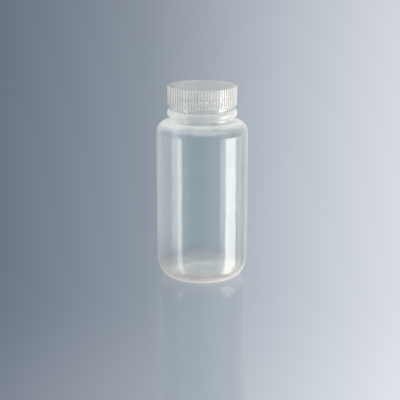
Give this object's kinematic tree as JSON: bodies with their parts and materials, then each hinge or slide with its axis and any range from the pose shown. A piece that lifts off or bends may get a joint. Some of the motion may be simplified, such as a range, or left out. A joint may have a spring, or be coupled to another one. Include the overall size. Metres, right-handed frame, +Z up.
{
  "type": "reagent bottle",
  "caption": "Wide-mouth translucent plastic laboratory bottle: round body, collared neck, finely ribbed screw cap and a loose sealing liner.",
  "frame": {"origin": "centre of the ring that the bottle stands on, at table height", "axes": "+Z up the bottle's axis and out of its mouth; +X is where both threads start, at the neck's lower end"},
  "size_m": [0.061, 0.061, 0.1313],
  "materials": {
    "bottle_plastic": "smooth translucent natural polypropylene, semi-gloss",
    "cap_plastic": "translucent natural polypropylene, moulded, semi-gloss",
    "liner_plastic": "matt soft translucent natural polyethylene"
  },
  "bodies": {
    "bottle": {"bottle": "bottle_plastic"},
    "liner": {"sealing_liner": "liner_plastic"},
    "cap": {"screw_cap": "cap_plastic"}
  },
  "joints": [
    {"name": "cap_lift", "type": "slide", "parent": "bottle", "child": "liner", "axis": [0, 0, 1], "range_m": [0, 0.01693]},
    {"name": "cap_turn", "type": "hinge", "parent": "liner", "child": "cap", "pos_m": [0, 0, 0.1232], "axis": [0, 0, 1], "range_deg": [0, 1440]}
  ],
  "couplings": [
    {"joint": "cap_lift", "follows": "cap_turn", "m_per_rad": 0.0006737}
  ]
}
